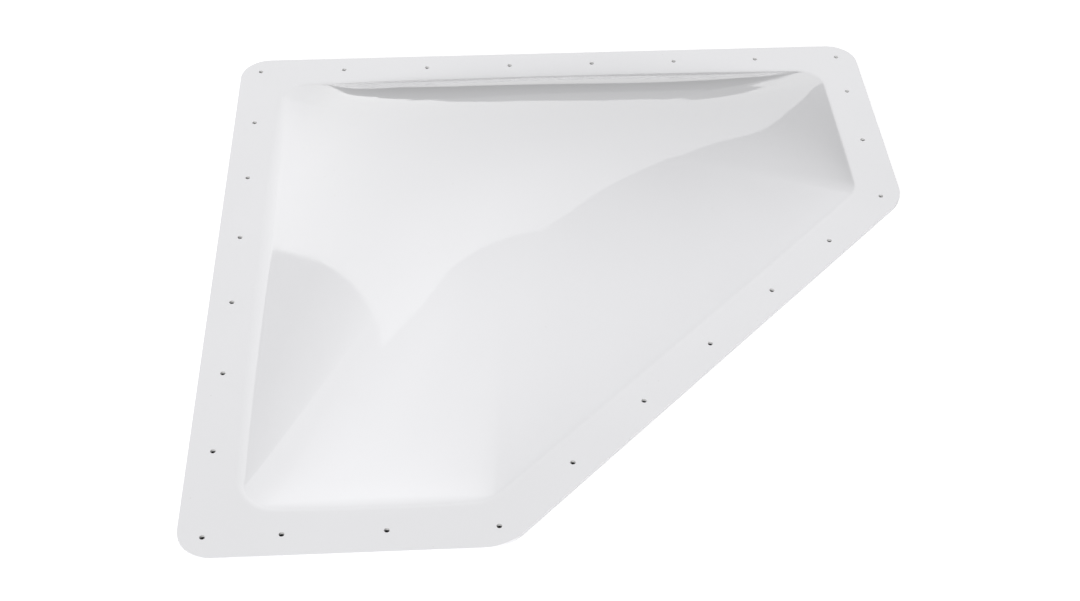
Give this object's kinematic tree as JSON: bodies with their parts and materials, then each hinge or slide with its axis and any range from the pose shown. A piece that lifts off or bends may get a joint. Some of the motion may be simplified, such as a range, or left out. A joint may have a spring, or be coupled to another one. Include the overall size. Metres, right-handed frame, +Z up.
{
  "type": "rv skylight",
  "caption": "Neo-angle skylight dome, a square with one corner cut off, of glossy opal sheet with a flat drilled screw flange on sealing strips, for a caravan shower roof.",
  "frame": {"origin": "middle of the plan's bounding square, on the roof plane under the sealing strips", "axes": "+Z up out of the roof; the two long sides are the back at +Y and the left at -X, and the diagonal side faces +X -Y"},
  "size_m": [0.7112, 0.7112, 0.0984],
  "materials": {
    "opal_sheet": "glossy white opal acrylic, formed, edges sawn and lightly scraped",
    "sealing_tape": "matt black butyl tape, slightly tacky"
  },
  "bodies": {
    "root": {"outer_dome": "opal_sheet", "seal_strip_back": "sealing_tape", "seal_strip_right": "sealing_tape", "seal_strip_diagonal": "sealing_tape", "seal_strip_front": "sealing_tape", "seal_strip_left": "sealing_tape"}
  },
  "joints": []
}
